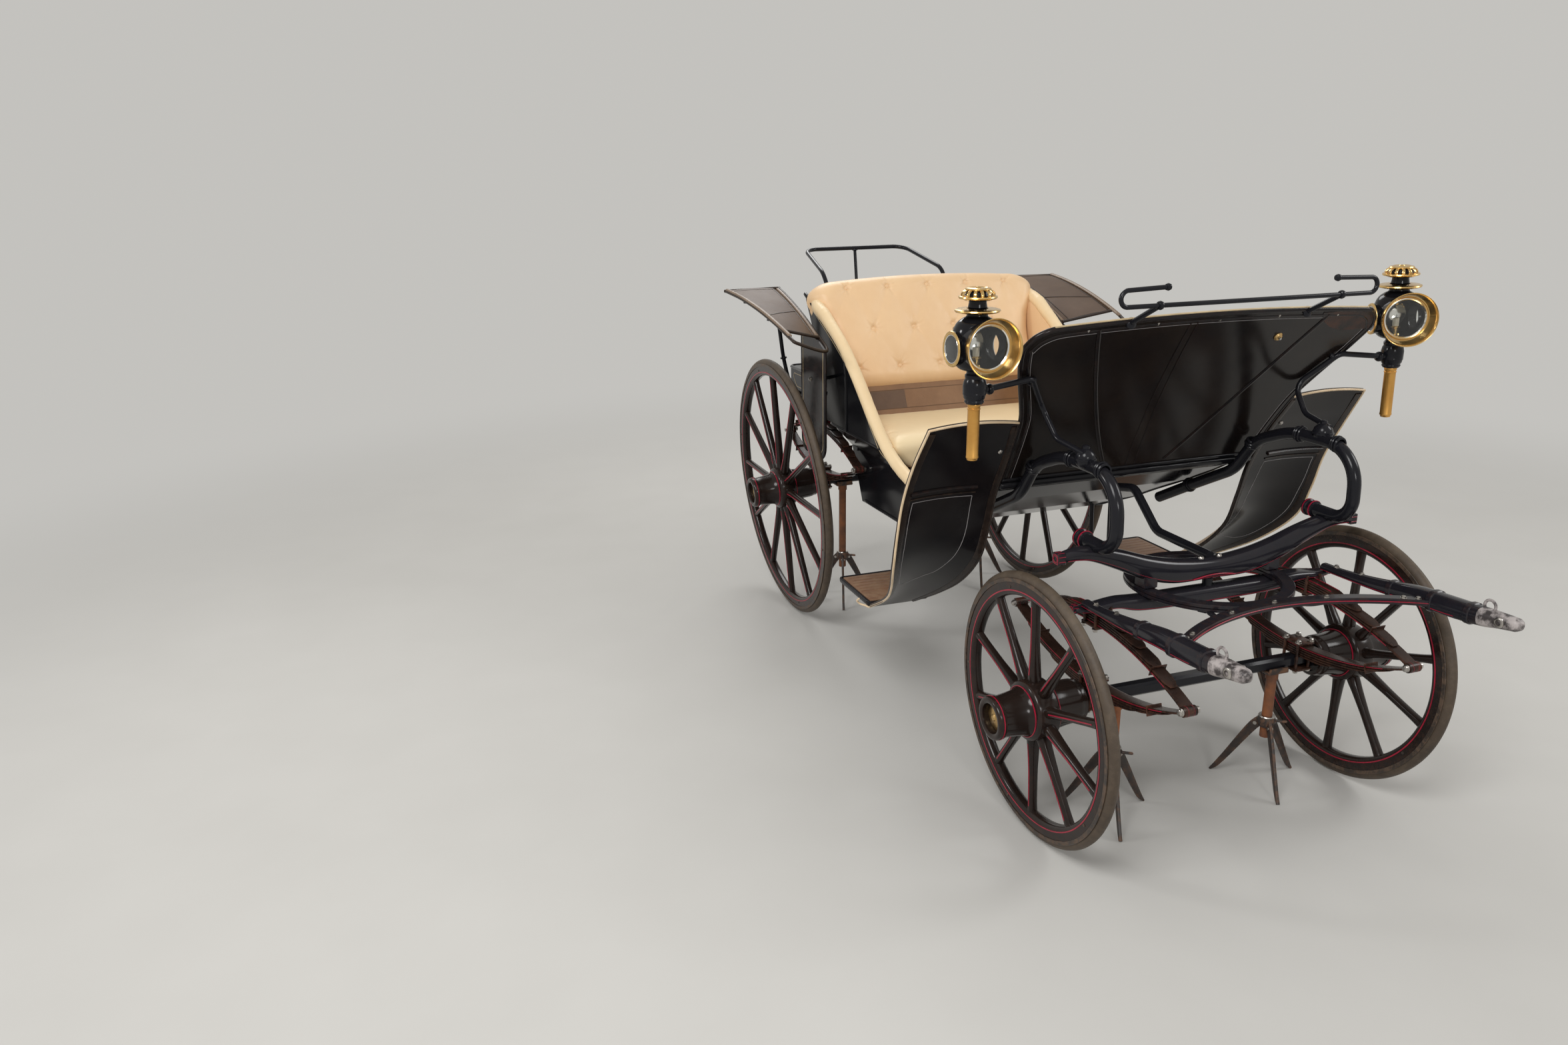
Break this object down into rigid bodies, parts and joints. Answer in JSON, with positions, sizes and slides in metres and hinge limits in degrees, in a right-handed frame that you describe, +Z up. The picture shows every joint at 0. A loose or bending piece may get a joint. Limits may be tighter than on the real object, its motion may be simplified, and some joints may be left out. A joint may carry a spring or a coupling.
{
  "type": "horse-drawn park phaeton",
  "caption": "Low open park phaeton on elliptic springs with high flared dash, curved side wings, two lamps, buttoned seat, groom's seat and steering fore-carriage, on axle stands.",
  "frame": {"origin": "on the floor, below the middle of the overall length and width", "axes": "+Z up, -Y towards the front, +X to the carriage's left hand"},
  "size_m": [1.526, 3.164, 1.512],
  "materials": {
    "black_body": "black coach varnish, gloss",
    "lacquered_wood": "black coach varnish with thin crimson lines",
    "lacquered_wheel": "black coach varnish with thin crimson lines",
    "black_iron": "black paint, gloss",
    "tyre": "aged solid rubber",
    "patent_leather": "black patent leather",
    "cream_leather": "cream leather, soft sheen",
    "brown_leather": "worn brown leather",
    "tan_board": "tan covered board",
    "step_tread": "brown tread cover",
    "brass": "polished brass",
    "candle_tube": "satin golden tube",
    "stand_iron": "rusty brown iron"
  },
  "bodies": {
    "carriage": {"rear_axle": "black_iron", "floor_board": "black_body", "back_panel": "black_body", "boot": "black_body", "seat_box": "tan_board", "seat_cushion": "cream_leather", "backrest": "cream_leather", "dash": "patent_leather", "rein_rail": "black_iron", "transom": "lacquered_wood", "centre_iron": "black_iron", "kingpin": "black_iron", "rumble_seat": "black_body", "rumble_cushion": "cream_leather", "rumble_rail": "black_iron", "rear_bar": "black_iron", "rear_stands": "stand_iron", "rear_spring_left": "black_iron", "rear_spring_right": "black_iron", "tub_side_left": "black_body", "tub_side_right": "black_body", "side_roll_left": "cream_leather", "side_roll_right": "cream_leather", "wing_left": "patent_leather", "wing_right": "patent_leather", "step_left": "step_tread", "step_right": "step_tread", "swan_neck_left": "black_iron", "swan_neck_right": "black_iron", "lamp_iron_left": "black_iron", "lamp_iron_right": "black_iron", "lamp_body_left": "black_body", "lamp_body_right": "black_body", "lamp_brass_left": "brass", "lamp_brass_right": "brass", "lamp_tube_left": "candle_tube", "lamp_tube_right": "candle_tube", "mudguard_left": "brown_leather", "mudguard_right": "brown_leather"},
    "fore_carriage": {"front_axle": "black_iron", "lower_bolster": "lacquered_wood", "bow_bar": "lacquered_wood", "front_stands": "stand_iron", "front_spring_left": "black_iron", "front_spring_right": "black_iron", "futchell_left": "lacquered_wood", "futchell_right": "lacquered_wood"},
    "wheel_front_left": {"front_wheel_left": "lacquered_wheel", "front_tyre_left": "tyre"},
    "wheel_front_right": {"front_wheel_right": "lacquered_wheel", "front_tyre_right": "tyre"},
    "wheel_rear_left": {"rear_wheel_left": "lacquered_wheel", "rear_tyre_left": "tyre"},
    "wheel_rear_right": {"rear_wheel_right": "lacquered_wheel", "rear_tyre_right": "tyre"}
  },
  "joints": [
    {"name": "steering", "type": "hinge", "parent": "carriage", "child": "fore_carriage", "pos_m": [0, -0.966, 0.68], "axis": [0, 0, 1], "range_deg": [-75, 75]},
    {"name": "front_left_wheel_spin", "type": "hinge", "parent": "fore_carriage", "child": "wheel_front_left", "pos_m": [0.534, -0.966, 0.38367], "axis": [0.9991, 0, -0.0419], "continuous": true},
    {"name": "front_right_wheel_spin", "type": "hinge", "parent": "fore_carriage", "child": "wheel_front_right", "pos_m": [-0.534, -0.966, 0.38367], "axis": [0.9991, 0, 0.0419], "continuous": true},
    {"name": "rear_left_wheel_spin", "type": "hinge", "parent": "carriage", "child": "wheel_rear_left", "pos_m": [0.598, 0.908, 0.53236], "axis": [0.9969, 0, -0.0785], "continuous": true},
    {"name": "rear_right_wheel_spin", "type": "hinge", "parent": "carriage", "child": "wheel_rear_right", "pos_m": [-0.598, 0.908, 0.53236], "axis": [0.9969, 0, 0.0785], "continuous": true}
  ]
}
